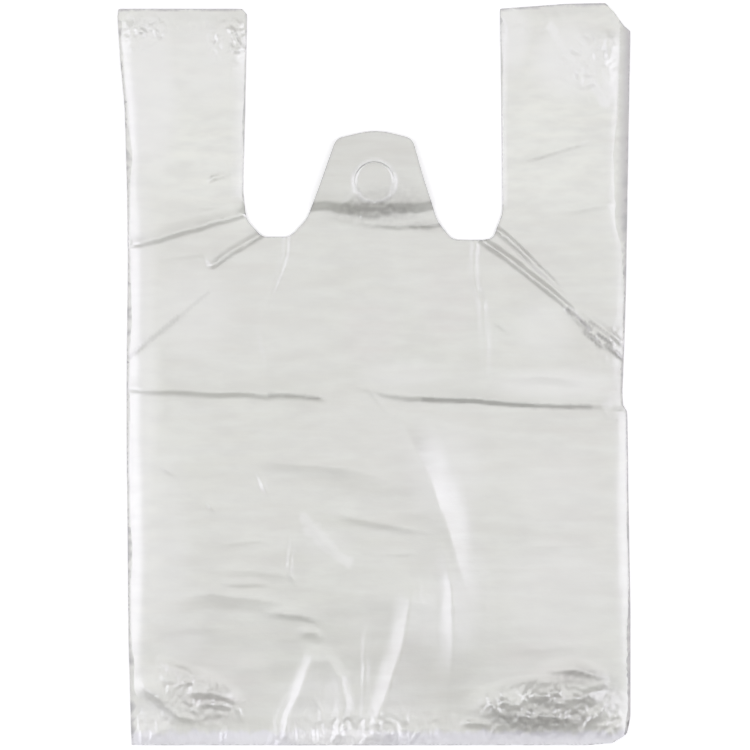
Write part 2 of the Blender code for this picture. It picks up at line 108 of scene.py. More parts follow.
# Fineness of the meshes, in millimetres
FRONT_GRID = 1.25
CREST_STEP = 1.3
PLAIN_GRID = 3.4

# The outline in pixels of the photograph, anticlockwise in the row frame from the foot's left corner, each
# corner with its radius in pixels
OUTLINE = [
    (131.5, 745.5, 1), (586, 745.5, 0), (612, 743.5, 8), (627, 735, 10), (630.5, 716, 12), (630.5, 610, 0),
    (628.5, 500, 0), (627.5, 420, 0), (627, 411, 1), (623, 404.5, 1), (622.5, 392, 3), (624.5, 340, 0),
    (626, 290, 0), (627.5, 200, 0), (629, 110, 0), (630.5, 31, 1), (624, 25.5, 1), (621, 21.5, 2),
    (614, 11.5, 2), (605.5, 2.8, 1.5), (566, 3.6, 0), (500, 8.5, 1.5), (501.5, 100, 0), (502.5, 213, 27),
    (493, 238, 8), (483, 240, 12), (452, 239.5, 14), (437.5, 221, 30), (423, 176, 0), (412.5, 138.5, 13),
    (376, 129.3, 70), (336, 138.5, 13), (320, 184, 0), (307.5, 218, 34), (290, 236.8, 16), (262, 236.8, 12),
    (246, 219, 22), (243, 190, 0), (245, 110, 0), (247, 14, 2), (242, 8.6, 2), (118.3, 8.6, 1.5),
    (117.2, 16, 0), (120, 60, 0), (124.5, 108, 0), (127, 190, 0), (127.8, 260, 0), (126.8, 350, 0),
    (126.4, 420, 0), (127.4, 520, 0), (128.4, 640, 0), (130.2, 705, 0),
]
# The punched hole in the tab: its middle in pixels, its radius, its slit and its slug's shift in millimetres,
# and how much of its ring is uncut
TAB_HOLE = (374.4, 181.3)
TAB_HOLE_RADIUS = 11.9
TAB_HOLE_SLIT = 0.12
SLUG_SHIFT = (0.06, -0.42)
TAB_HOLE_HINGE_DEGREES = 56.0
# Where the handles' inner edges are cut, in pixels across
LEFT_CUT_PIXEL = 246
RIGHT_CUT_PIXEL = 501.5

# Folds in the front panel, by name: the widths in millimetres of the slopes to the left and to the right of
# the fold's direction, and its route as (x pixel, y pixel, height in millimetres)
RIDGES = {
    # The fold across the middle, where the bag was folded in half
    "half_left": (9, 3.4, [
        (124, 388.5, 0.5), (150, 389.5, 0.8), (200, 391.5, 1.15), (245, 393, 1.3), (265, 394, 0.9),
        (285, 394, 1.1), (300, 394.5, 0.8), (318, 396, 0.8), (330, 400, 0),
    ]),
    "half_right": (12, 3.2, [
        (345, 384, 0), (378, 392, 0.5), (410, 396.5, 0.95), (440, 397.5, 1.35), (470, 398.5, 1.85),
        (500, 401.5, 1.85), (530, 403.5, 1.4), (570, 404.5, 1), (600, 404.5, 0.7), (612, 406, 0),
    ]),
    "half_band": (4, 8, [(322, 369, 0), (350, 371, 0.56), (380, 375, 0.56), (414, 380, 0)]),
    "half_band_right": (5, 9, [(486, 377, 0), (520, 377, 0.56), (560, 377, 0.56), (606, 384, 0)]),
    "half_right_low": (8, 16, [(432, 408, 0), (474, 411, 0.55), (530, 412, 0.55), (572, 411, 0)]),
    "half_tick": (2.2, 2.6, [(364, 384, 0), (374, 395, 0.33), (388, 413, 0)]),
    "half_right_kink": (2, 2, [(596, 398, 0), (602, 406, 0.39), (606, 414, 0.28), (610, 420, 0)]),
    "half_right_end": (1.4, 1.4, [(606, 411, 0), (614, 412.5, 0.16), (626, 413, 0.16)]),
    "half_right_end_low": (1.2, 1.2, [(608, 417, 0), (616, 418, 0.1), (626, 419, 0.1)]),
    # The left handle's root
    "left_root": (7, 2.2, [
        (126, 246, 0.4), (140, 243, 0.9), (160, 238, 1.1), (200, 227, 1.2), (243, 214, 1),
    ]),
    "left_root_low": (4.5, 2, [(213, 265, 0.8), (236, 250, 1), (262, 234, 1.1)]),
    "left_hook": (2, 1.6, [(196, 252, 0), (204, 254, 0.3), (213, 265, 0.34)]),
    "left_hook_streak": (4, 2.6, [(150, 262, 0), (176, 257, 0.22), (204, 253, 0.22)]),
    "left_slant": (5, 2.2, [(128, 358, 0.3), (150, 340, 0.5), (172, 322, 0.55), (209, 292, 0)]),
    "left_slant_low": (2.2, 2, [(146, 348, 0), (160, 337, 0.2), (184, 316, 0)]),
    # The right handle's root: two lines with a light strip between, which end in short steps
    "right_root": (3, 2.2, [
        (480, 239, 1.1), (521, 268, 1.35), (543, 285.5, 1.4), (563, 303, 1.1), (582, 320, 0),
    ]),
    "right_root_high": (2.2, 2.4, [
        (497, 230, 1.1), (521, 250, 1.1), (543, 271, 0.8), (562, 290, 0.3), (574, 302, 0),
    ]),
    "right_root_step_one": (1.5, 1.7, [(566, 310, 0.29), (578, 321, 0.62), (588, 331, 0.38)]),
    "right_root_step_two": (1.5, 1.7, [(585, 333, 0.24), (594, 339, 0.62), (602, 347, 0.24)]),
    "right_root_step_three": (1.4, 1.5, [(596, 330, 0.19), (606, 337, 0.58), (614, 345, 0.29)]),
    "right_root_step_four": (1.6, 1.9, [(606, 345, 0.14), (616, 352, 0.62), (627, 362, 0.48)]),
    "right_root_edge": (3, 1.8, [(574, 304, 0), (594, 322, 0.5), (612, 336, 0.5), (628, 350, 0.4)]),
    # The foot of the tab
    "tab_foot": (6, 1.8, [
        (360, 223, 0), (378, 225, 0.5), (400, 226, 0.7), (430, 225, 0.6), (448, 222, 0.3),
    ]),
    "tab_foot_left": (5, 3, [(300, 218, 0), (330, 216, 0.22), (352, 220, 0.22), (380, 224, 0)]),
    "tab_tick": (2.4, 2, [(344, 205, 0.2), (352, 197, 0.45), (359, 190, 0)]),
    "tab_side_wrinkle": (1.8, 1.6, [(391, 172, 0), (402, 174, 0.35), (424, 178, 0)]),
    "tab_side_left": (1.6, 1.6, [(334, 160, 0), (340, 168, 0.35), (350, 172, 0)]),
    # Gusset folds that press through
    "left_gusset": (2.6, 3.4, [
        (287.5, 236, 0.54), (286, 254, 0.54), (277, 278, 0.42), (268, 302, 0.24), (263, 312, 0),
    ]),
    "left_gusset_foot": (3, 3, [(255, 314, 0), (260, 334, 0.35), (268, 358, 0.35), (270, 376, 0)]),
    "right_gusset": (4, 4, [
        (475, 243, 0.6), (474, 286, 0.6), (483, 306, 0.6), (486, 345, 0.5), (486, 376, 0.3),
    ]),
    "right_gusset_tick": (1.8, 1.8, [(489, 317, 0), (499, 325, 0.42), (512, 334, 0)]),
    # The long streak right of the middle and its branches
    "streak": (18, 28, [
        (396, 414, 0), (405, 428, 1.5), (414, 446, 2.4), (424, 468, 2.8), (433, 489, 2.8), (447, 530, 2.4),
        (456, 562, 1.5), (466, 588, 0.8), (480, 608, 0),
    ]),
    "streak_arm": (5, 11, [(404, 418, 0), (440, 426, 0.35), (505, 436, 0.35), (576, 446, 0)]),
    # Soft horizontal folds of the belly
    "belly_one": (10, 11, [
        (250, 462, 0), (300, 464, 0.74), (340, 467, 0.84), (372, 474, 0.63), (408, 486, 0),
    ]),
    "belly_two": (10, 4, [
        (330, 511, 0), (350, 517, 0.42), (385, 525, 0.6), (420, 531, 0.6), (440, 536, 0.18),
    ]),
    "belly_three": (3, 1.8, [(372, 556, 0), (400, 554, 0.24), (434, 552, 0.12)]),
    "belly_four": (2.2, 1.4, [(216, 546, 0), (240, 543, 0.27), (256, 541.5, 0.27), (274, 542, 0)]),
    "belly_five": (5, 2, [(218, 585, 0), (236, 584, 0.36), (254, 583.5, 0.36), (270, 584, 0)]),
    "belly_five_high": (8, 5, [(212, 572, 0), (250, 571, 0.36), (284, 575, 0.3), (300, 582, 0)]),
    "belly_six_left": (6, 9, [(176, 598, 0), (210, 594, 0.64), (256, 598, 0.72), (290, 606, 0)]),
    "belly_six": (8, 3.2, [
        (262, 612, 0), (280, 614, 0.56), (300, 615, 0.66), (314, 620, 0.41), (322, 634, 0),
    ]),
    "belly_seven": (4, 1.8, [(480, 571, 0), (504, 570, 0.21), (540, 570, 0)]),
    "belly_eight": (3, 5, [(500, 549, 0), (540, 546, 0.21), (614, 545, 0)]),
    "belly_nine": (6, 3, [(136, 492, 0), (170, 493, 0.21), (212, 496, 0)]),
    "belly_ten": (8, 4, [(150, 634, 0), (190, 628, 0.21), (240, 632, 0)]),
    "belly_eleven": (8, 5, [(490, 642, 0), (540, 650, 0.24), (600, 645, 0)]),
    # Bright patches and small bright creases
    "patch": (9, 12, [(300, 516, 0), (312, 528, 0.4), (328, 545, 0.45), (346, 563, 0)]),
    "patch_low": (4.5, 5, [(297, 628, 0), (305, 632, 0.59), (316, 633, 0.59), (324, 640, 0)]),
    "crease_one": (1.8, 1.8, [(158, 464, 0), (168, 471, 0.45), (178, 476, 0)]),
    "crease_two": (2, 2, [(255, 470, 0), (263, 484, 0.6), (271, 501, 0)]),
    "crease_three": (1.8, 1.8, [(205, 500, 0), (211, 507, 0.45), (217, 513, 0)]),
    "crease_four": (2, 2, [(294, 528, 0), (291, 552, 0.38), (289, 574, 0.52), (297, 588, 0)]),
    "crease_five": (2.2, 2.2, [(428, 610, 0), (419, 596, 0.52), (421, 570, 0)]),
    "crease_six": (3, 3, [(486, 592, 0), (485, 606, 0.3), (482, 622, 0)]),
    # The fans of folds that rise from the foot seal
    "fan_one": (7.2, 16, [
        (284, 732, 1.08), (293, 708, 1.26), (304, 681, 1.32), (312, 660, 0.96), (317, 646, 0),
    ]),
    "fan_one_left": (2.2, 1.8, [(276, 724, 0.21), (283, 706, 0.41), (292, 690, 0)]),
    "fan_two": (6, 14, [
        (318, 646, 0), (326, 658, 0.72), (341, 678, 1.08), (345, 704, 1.14), (339, 734, 0.96),
    ]),
    "fan_two_arch": (2.2, 2.2, [
        (303, 738, 0.34), (306, 716, 0.41), (314, 698, 0.41), (322, 712, 0.41), (325, 738, 0.34),
    ]),
    "fan_three": (19, 10.5, [
        (416, 582, 0), (411, 600, 1.4), (404, 642, 1.7), (391, 684, 1.75), (377, 722, 1.4), (371, 741, 0.7),
    ]),
    "fan_three_inner": (1.8, 1.8, [(378, 730, 0.34), (386, 704, 0.47), (396, 694, 0.27), (406, 722, 0.41)]),
    "fan_three_tick": (2, 2, [(389, 738, 0.41), (392, 722, 0.47), (398, 706, 0)]),
    "fan_four": (26, 10, [
        (437, 534, 0), (445, 556, 1.4), (450, 582, 1.9), (453, 606, 1.95), (454, 636, 1.75),
        (453, 664, 1.25), (451, 690, 0.7), (449, 720, 0.2),
    ]),
    "fan_six": (3, 4, [(364, 716, 0.26), (364, 680, 0.51), (366, 640, 0.42), (368, 616, 0)]),
    "foot_tick_one": (1.3, 1.3, [(223, 741, 0.5), (223, 734, 0.8), (227, 726, 0)]),
    "foot_tick_two": (1.4, 1.4, [(279, 744, 0.5), (277, 736, 0.7), (273, 728, 0)]),
    "foot_tick_three": (1.4, 1.4, [(281, 744, 0.5), (284, 733, 0.7), (288, 722, 0)]),
    "foot_tick_four": (1.3, 1.3, [(413, 742, 0.5), (417, 734, 0.7), (423, 726, 0)]),
    # The crumple at the left of the foot
    "left_crumple_long": (8.5, 7, [
        (136, 678, 0), (145, 686, 0.7), (160, 700, 1.05), (176, 714, 0.98), (188, 724, 0.21),
    ]),
    "left_crumple_top": (5, 3.8, [
        (156, 657, 0), (165, 664, 0.48), (172, 668, 0.8), (181, 671, 0.96), (190, 674, 0.56), (204, 680, 0),
    ]),
    "left_crumple_arc": (2, 1.6, [(178, 685, 0.2), (188, 682, 0.7), (198, 684, 0.5), (206, 689, 0)]),
    "left_crumple_low": (7, 4.6, [
        (180, 689, 0), (190, 691, 0.56), (201, 693, 1.12), (212, 694, 1.36), (224, 696, 1.12),
        (234, 699, 0.56), (246, 704, 0),
    ]),
    "left_crumple_lowest": (2, 2.4, [(199, 704, 0.2), (212, 704.5, 1.1), (226, 705, 1), (232, 708, 0)]),
    "left_crumple_second": (1.8, 1.8, [(182, 692, 0), (189, 701, 0.8), (198, 716, 0)]),
    "left_crumple_third": (3, 3.2, [(170, 713, 0), (179, 717, 1.2), (190, 719, 0.8), (197, 724, 0)]),
    "left_crumple_fourth": (1.4, 1.4, [(234, 703, 0), (239, 711, 0.5), (243, 722, 0)]),
    # The crumple at the right of the foot
    "right_crumple_top": (7, 6, [
        (536, 674, 0), (554, 671, 1), (576, 670, 1.6), (592, 674, 1.25), (610, 680, 0),
    ]),
    "right_crumple_hook": (1.5, 1.5, [(533, 684, 0.3), (526, 691, 0.8), (524, 702, 0.8), (514, 711, 0)]),
    "right_crumple_corner": (2, 1.8, [(486, 693, 0), (491, 703, 0.9), (498, 711, 1), (508, 715, 0.2)]),
    "right_crumple_near": (3, 3.6, [(498, 702, 0), (506, 703, 1.3), (515, 705, 0.9), (522, 710, 0)]),
    "right_crumple_mid": (3, 7, [(525, 697, 0.12), (534, 694, 1.18), (545, 696, 1.24), (554, 702, 0.12)]),
    "right_crumple_curl": (1.6, 1.8, [(549, 694, 0), (556, 691, 0.9), (563, 695, 0)]),
    "right_crumple_long": (3, 5.4, [
        (556, 707, 0.12), (566, 700, 1.05), (580, 696, 1.24), (594, 692, 0.87), (606, 684, 0),
    ]),
    "right_crumple_low": (3.5, 5.6, [
        (512, 720, 0), (526, 717, 0.99), (546, 716, 1.24), (564, 718, 1.05), (576, 726, 0.5), (584, 735, 0),
    ]),
    "right_crumple_lowest": (2.6, 3.8, [(458, 725, 0), (470, 723, 1.2), (482, 724, 0.9), (494, 728, 0)]),
    "right_crumple_tick": (1.3, 1.3, [(491, 738, 0.4), (494, 729, 0.6), (498, 723, 0)]),
    "right_crumple_end": (2.2, 2, [(580, 737, 0.2), (588, 724, 1), (598, 714, 1), (607, 704, 0)]),
    "right_corner_tick": (1.6, 1.6, [(596, 738, 0.2), (604, 727, 0.7), (616, 716, 0.1)]),
    "right_corner_tick_low": (1.4, 1.4, [(606, 736, 0.1), (615, 727, 0.6), (625, 719, 0.1)]),
    # Crinkles at the handles' tops and sides
    "left_top_one": (1.8, 1.8, [(130, 24, 0), (142, 31, 0.8), (152, 37, 0)]),
    "left_top_two": (1.8, 1.8, [(146, 24, 0), (156, 32, 0.7), (164, 39, 0)]),
    "left_top_three": (1.8, 1.8, [(222, 20, 0), (232, 31, 0.8), (240, 46, 0.6), (244, 56, 0)]),
    "left_top_four": (1.8, 1.8, [(210, 24, 0), (218, 38, 0.5), (222, 52, 0)]),
    "left_top_five": (1.4, 1.6, [(228, 46, 0), (237, 50, 0.8), (246, 49, 0.4)]),
    "left_side_arc": (1.8, 1.4, [(207, 184, 0), (214, 178, 0.72), (222, 176, 0.48), (234, 178, 0)]),
    "left_side_arc_low": (4, 3, [(160, 214, 0), (200, 207, 0.38), (242, 204, 0.22)]),
    "right_top_one": (4.4, 4, [
        (550, 22, 0), (560, 38, 0.2), (571, 56, 0.28), (590, 74, 0.28), (602, 92, 0.2), (606, 104, 0),
    ]),
    "right_top_two": (3.4, 3.2, [(574, 22, 0), (582, 38, 0.32), (592, 50, 0.36), (602, 58, 0)]),
    "right_top_three": (2.8, 2.8, [(592, 32, 0), (599, 44, 0.32), (604, 58, 0.27), (606, 72, 0)]),
    "right_top_four": (3, 3, [(554, 48, 0), (564, 62, 0.32), (576, 80, 0.27), (588, 92, 0)]),
    "right_side_fold": (4, 1.8, [(512, 164, 0), (540, 156, 0.58), (580, 144, 0.51), (592, 139, 0)]),
    "right_side_fold_low": (5, 2.6, [(556, 214, 0), (584, 209, 0.51), (610, 205, 0.37), (622, 204, 0)]),
}

# Crumpled places: centre in pixels, half sizes in pixels, turn in degrees, height in millimetres, grain in
# millimetres, and how steeply the film leans there towards the foot
CRUMPLES = [
    ((196, 698), (60, 32), -22, 0.8, 4.8, 0.04),
    ((546, 709), (92, 36), 3, 1.15, 4, 0.1),
    ((606, 722), (24, 20), 0, 0.7, 4, 0),
    ((150, 726), (34, 24), 0, 0.6, 4.5, 0),
    ((584, 64), (42, 44), 35, 0.6, 4.6, 0),
    ((604, 48), (18, 24), 0, 0.6, 3.4, 0),
    ((532, 28), (40, 18), 0, 0.5, 3.8, 0),
    ((146, 30), (36, 22), 30, 0.7, 4, 0),
    ((228, 40), (28, 36), 0, 0.75, 3.8, 0),
    ((186, 26), (46, 14), 0, 0.4, 4, 0),
    ((370, 726), (116, 22), 0, 0.45, 5, 0),
    ((606, 345), (30, 24), 40, 0.4, 5, 0),
    ((374, 212), (60, 20), 0, 0.35, 6, 0),
]

# Places where the film is warmer, places painted paler as painted highlights, and painted shade where the
# film lies gathered and takes less light and at the tab's foot: centre and half sizes in pixels, and how
# strong
WARM_PLACES = [
    ((222, 684), (66, 46), 1), ((546, 662), (76, 46), 1), ((448, 300), (40, 60), 1),
    ((370, 330), (40, 50), 1), ((190, 12), (60, 7), 1), ((540, 9), (40, 7), 1),
]
PAINTED_HIGHLIGHT_PLACES = [
    ((190, 310), (60, 60), 0.28), ((555, 384), (80, 22), 0.45), ((400, 374), (60, 16), 0.28),
    ((560, 590), (80, 80), 0.3), ((160, 540), (40, 140), 0.3), ((448, 470), (50, 70), 0.35),
    ((448, 610), (40, 70), 0.35), ((512, 34), (26, 50), 0.6), ((310, 712), (50, 60), 0.4),
    ((335, 738), (70, 16), 0.9), ((380, 716), (60, 34), 0.28), ((545, 330), (40, 40), 0.28),
    ((182, 642), (34, 26), 0.3), ((150, 718), (36, 26), 0.45), ((150, 90), (40, 120), 0.6),
    ((139, 400), (27, 330), 0.45), ((200, 60), (60, 60), 0.3), ((608, 80), (14, 36), 0.5),
    ((328, 545), (36, 26), 0.25), ((572, 60), (54, 52), 0.65), ((562, 495), (64, 64), 0.2),
]
PAINTED_SHADE_PLACES = [
    ((538, 719), (80, 17), 0.85), ((548, 702), (28, 14), 0.6), ((588, 700), (24, 12), 0.55),
    ((498, 708), (24, 12), 0.5), ((608, 696), (22, 28), 0.5), ((580, 677), (36, 10), 0.7),
    ((212, 700), (28, 12), 0.4), ((148, 704), (30, 20), 0.25), ((378, 209), (62, 15), 0.8),
    ((402, 197), (28, 20), 0.35), ((424, 226), (34, 7), 0.55), ((386, 205), (58, 28), 0.45),
]
# Streaks painted paler as painted highlights, and streaks painted darker as painted shade along folds: half
# width in pixels, strength, and route in pixels
PAINTED_HIGHLIGHT_STREAKS = [
    (5, 0.4, [(304, 518), (316, 532), (322, 540)]),
    (8, 0.5, [(312, 530), (330, 548)]),
    (5, 0.5, [(326, 544), (338, 556), (349, 562)]),
    (5, 0.75, [(551, 26), (561, 45), (573, 62), (590, 79), (605, 102)]),
    (3, 0.45, [(576, 30), (584, 45), (599, 58)]),
    (6, 0.5, [(603, 40), (600, 54), (606, 74), (612, 92)]),
]
PAINTED_SHADE_STREAKS = [
    (2.3, 1, [(568, 310), (579, 319), (590, 329)]),
    (2.3, 1, [(585, 332), (592, 337), (601, 346)]),
    (2, 1, [(598, 334), (606, 340), (612, 345)]),
    (2.4, 1, [(606, 346), (616, 353), (627, 363)]),
    (1.8, 0.6, [(590, 322), (606, 333), (625, 348)]),
    (2.4, 0.5, [(424, 399), (478, 401.5), (532, 405.5), (590, 407)]),
    (2, 0.42, [(129, 357), (150, 340), (178, 317)]),
    (1.6, 0.2, [(176, 319), (208, 293)]),
    (1.8, 0.5, [(270, 394.5), (290, 395), (318, 398)]),
]

# The film's colours where two and four layers lie, which also carry painted light, and those mixed over them:
# in clouds, and in its warm places, seals, painted highlights, painted shade, uncovered hems darkened partly
# as painted shade, and the dark beaded line of its edges, which also paints their shade
TWO_LAYERS = (0.632, 0.642, 0.571)
FOUR_LAYERS = (0.87, 0.88, 0.795)
CLOUD_WARM = (0.655, 0.625, 0.59)
CLOUD_PALE = (0.8, 0.82, 0.76)
CLOUD_DIM = (0.62, 0.615, 0.57)
CLOUD_MILKY = (0.79, 0.8, 0.735)
WARM = (0.72, 0.68, 0.65)
WELD = (0.83, 0.825, 0.89)
PAINTED_HIGHLIGHT = (0.91, 0.91, 0.88)
PAINTED_SHADE = (0.3, 0.295, 0.272)
BARE_AND_PAINTED_SHADE = (0.465, 0.445, 0.45)
BEAD_AND_PAINTED_EDGE_SHADE = (0.3, 0.295, 0.31)


def pixel(x, y):
    """A place in the row frame, in metres, from its place in the photograph."""
    return Vector(((x - ORIGIN_PIXEL[0]) * PIXEL, (ORIGIN_PIXEL[1] - y) * PIXEL))


def rounded(corners, step_degrees=9.0):
    """An outline of (point, radius) corners with an arc in place of each corner that has a radius."""
    points = []
    for index, (here, radius) in enumerate(corners):
        before = corners[index - 1][0] - here
        after = corners[(index + 1) % len(corners)][0] - here
        turn = math.pi - before.angle(after)
        if radius == 0.0 or turn < 0.01:
            points.append(here)
            continue
        setback = min(radius * math.tan(turn / 2), 0.49 * before.length, 0.49 * after.length)
        steps = max(2, math.ceil(math.degrees(turn) / step_degrees))
        start, end = here + before.normalized() * setback, here + after.normalized() * setback
        for step in range(steps + 1):
            share = step / steps
            points.append(start * (1 - share) ** 2 + here * (2 * share * (1 - share)) + end * share ** 2)
    return points


def stepped(points, step, closed=False):
    """A run of straight pieces with a point every step."""
    ends = list(zip(points, points[1:] + points[:1])) if closed else list(zip(points, points[1:]))
    out = [] if closed else [points[0]]
    for start, end in ends:
        count = max(1, round((end - start).length / step))
        shares = range(count) if closed else range(1, count + 1)
        out += [start + (end - start) * (share / count) for share in shares]
    return out


def smooth(share):
    """0 below 0, 1 above 1, and a smooth rise between, for an array."""
    share = np.clip(share, 0.0, 1.0)
    return share * share * (3 - 2 * share)


def gradient_noise(x, y, seed):
    """Smooth noise between about -1 and 1, with one bump or dent a unit."""
    random = np.random.default_rng(seed)
    angles = random.uniform(0, 2 * math.pi, (64, 64))
    columns, rows = np.floor(x).astype(int), np.floor(y).astype(int)
    fx, fy = x - columns, y - rows
    sx, sy = smooth(fx), smooth(fy)

    def corner(dx, dy):
        angle = angles[(columns + dx) % 64, (rows + dy) % 64]
        return np.cos(angle) * (fx - dx) + np.sin(angle) * (fy - dy)

    low = corner(0, 0) * (1 - sx) + corner(1, 0) * sx
    high = corner(0, 1) * (1 - sx) + corner(1, 1) * sx
    return (low * (1 - sy) + high * sy) * 1.5


def film_noise(x, y, across, up, seed):
    """Smooth noise over places in metres, with bumps and dents of this size in millimetres."""
    return gradient_noise(x / MM / across, y / MM / up, seed)


def crease_noise(x, y, seed):
    """Noise of sharp crests between round hollows, as in crumpled film, from 0 to about 1."""
    bend_x = gradient_noise(x * 0.5, y * 0.5, seed + 1) * 0.6
    bend_y = gradient_noise(x * 0.5, y * 0.5, seed + 2) * 0.6
    coarse = 1 - np.abs(gradient_noise(x + bend_x, y + bend_y, seed + 3)) * 1.4
    fine = 1 - np.abs(gradient_noise(x * 2.1 - bend_y, y * 2.1 + bend_x, seed + 4)) * 1.4
    return coarse * 0.68 + fine * 0.32


class Route:
    """A run of straight pieces in the row frame, in metres, that distances are measured to."""

    def __init__(self, points):
        self.points = [np.array(point[:2]) for point in points]

    def nearest(self, x, y):
        """Distance, side (1 left, -1 right), piece and share along it, for arrays of places."""
        best = np.full(x.shape, np.inf)
        side = np.ones(x.shape)
        piece = np.zeros(x.shape, dtype=int)
        share = np.zeros(x.shape)
        for index, (start, end) in enumerate(zip(self.points, self.points[1:])):
            along = end - start
            length = along @ along
            if length == 0.0:
                continue
            along_share = np.clip(((x - start[0]) * along[0] + (y - start[1]) * along[1]) / length, 0, 1)
            off_x = x - start[0] - along[0] * along_share
            off_y = y - start[1] - along[1] * along_share
            distance = np.hypot(off_x, off_y)
            closer = distance < best
            best = np.where(closer, distance, best)
            side = np.where(closer, np.where(along[0] * off_y - along[1] * off_x > 0, 1, -1), side)
            piece = np.where(closer, index, piece)
            share = np.where(closer, along_share, share)
        return best, side, piece, share


OUTLINE_POINTS = rounded([(pixel(x, y), radius * PIXEL) for x, y, radius in OUTLINE])
OUTLINE_ROUTE = Route(OUTLINE_POINTS + OUTLINE_POINTS[:1])
LEFT_FOLD = sorted((pixel(x, y) for x, y, _ in OUTLINE if x < 132), key=lambda point: point.y)
RIGHT_FOLD = sorted((pixel(x, y) for x, y, _ in OUTLINE if x > 620 and y > 30), key=lambda point: point.y)
FOOT_Y = pixel(0, 745.5).y
LEFT_TOP_Y = pixel(0, 8.6).y
NOTCH_Y = pixel(0, 238).y
TOP_ROUTE = [pixel(500, 8.5), pixel(566, 3.6), pixel(606, 3)]
HOLE_CENTRE = pixel(*TAB_HOLE)
MIDDLE_X = (LEFT_FOLD[0].x + RIGHT_FOLD[0].x) / 2
HALF_WIDTH = (RIGHT_FOLD[0].x - LEFT_FOLD[0].x) / 2


def across_at(route, y):
    """X of a side fold at these heights up the bag."""
    return np.interp(y, [point.y for point in route], [point.x for point in route])


def inside(x, y):
    """Whether places lie inside the outline."""
    found = np.zeros(x.shape, dtype=bool)
    points = OUTLINE_POINTS
    for start, end in zip(points, points[1:] + points[:1]):
        if start.y == end.y:
            continue
        crosses = (start.y > y) != (end.y > y)
        found ^= crosses & (x < (end.x - start.x) * (y - start.y) / (end.y - start.y) + start.x)
    return found


def from_sides(x, y):
    """Distance in millimetres inwards from the nearer side fold."""
    return np.minimum(x - across_at(LEFT_FOLD, y), across_at(RIGHT_FOLD, y) - x) / MM


def from_seals(x, y):
    """Distances in millimetres inwards from the foot seal's cut edge and from the handles' cut tops."""
    right_top = np.interp(x, [point.x for point in TOP_ROUTE], [point.y for point in TOP_ROUTE])
    top = np.where(x < 0, LEFT_TOP_Y, right_top)
    return (y - FOOT_Y) / MM, (top - y) / MM


def wander(x, y):
    """How far the folds stray from their drawn routes, in metres."""
    across = film_noise(x, y, 18, 18, 51) * 0.8 + film_noise(x, y, 6, 6, 52) * 0.22
    up = film_noise(x, y, 18, 18, 53) * 0.8 + film_noise(x, y, 6, 6, 54) * 0.22
    return across * MM, up * MM


def around(x, y, points, reach):
    """Whether places lie in the box around a run of points, or within reach of that box."""
    xs, ys = [point[0] for point in points], [point[1] for point in points]
    return (x > min(xs) - reach) & (x < max(xs) + reach) & (y > min(ys) - reach) & (y < max(ys) + reach)


def ridge_heights(x, y):
    """Height of the folds at these places, in millimetres."""
    total = np.zeros(x.shape)
    across, up = wander(x, y)
    x, y = x + across, y + up
    uneven = film_noise(x, y, 9, 9, 55)
    for left_width, right_width, route in RIDGES.values():
        points = [pixel(px, py) for px, py, _ in route]
        heights = np.array([height for _, _, height in route])
        near = around(x, y, points, max(left_width, right_width) * MM)
        if not near.any():
            continue
        distance, side, piece, share = Route(points).nearest(x[near], y[near])
        crest = heights[piece] + (heights[piece + 1] - heights[piece]) * share
        width = np.where(side > 0, left_width, right_width)
        soft = np.sqrt((distance / MM) ** 2 + 0.16) - 0.4
        rise = crest * np.clip(1 - soft / width, 0, 1) ** 1.35
        rise *= 1 + 0.34 * uneven[near] * np.minimum(1.0, 2.2 / width)
        total[near] += np.clip(rise, 0, None) ** 2.5
    return total ** (1 / 2.5)


def crumple_heights(x, y):
    """Height of the crumpled places in millimetres, and how crumpled they are, from 0 to 1."""
    total, rough = np.zeros(x.shape), np.zeros(x.shape)
    for index, (centre, sizes, turn, height, grain, lean) in enumerate(CRUMPLES):
        middle = pixel(*centre)
        angle = math.radians(turn)
        dx, dy = x - middle.x, y - middle.y
        along = (dx * math.cos(angle) + dy * math.sin(angle)) / (sizes[0] * PIXEL)
        over = (dy * math.cos(angle) - dx * math.sin(angle)) / (sizes[1] * PIXEL)
        near = along ** 2 + over ** 2 < 1
        share = smooth(1.6 * (1 - np.sqrt(along[near] ** 2 + over[near] ** 2)))
        noise = crease_noise(x[near] / (grain * MM), y[near] / (grain * MM), 40 + 7 * index)
        total[near] += height * share * noise + lean * share * (dy[near] + 0.8 * sizes[1] * PIXEL) / MM
        rough[near] = np.maximum(rough[near], share * min(1.0, height) ** 2)
    return total, rough


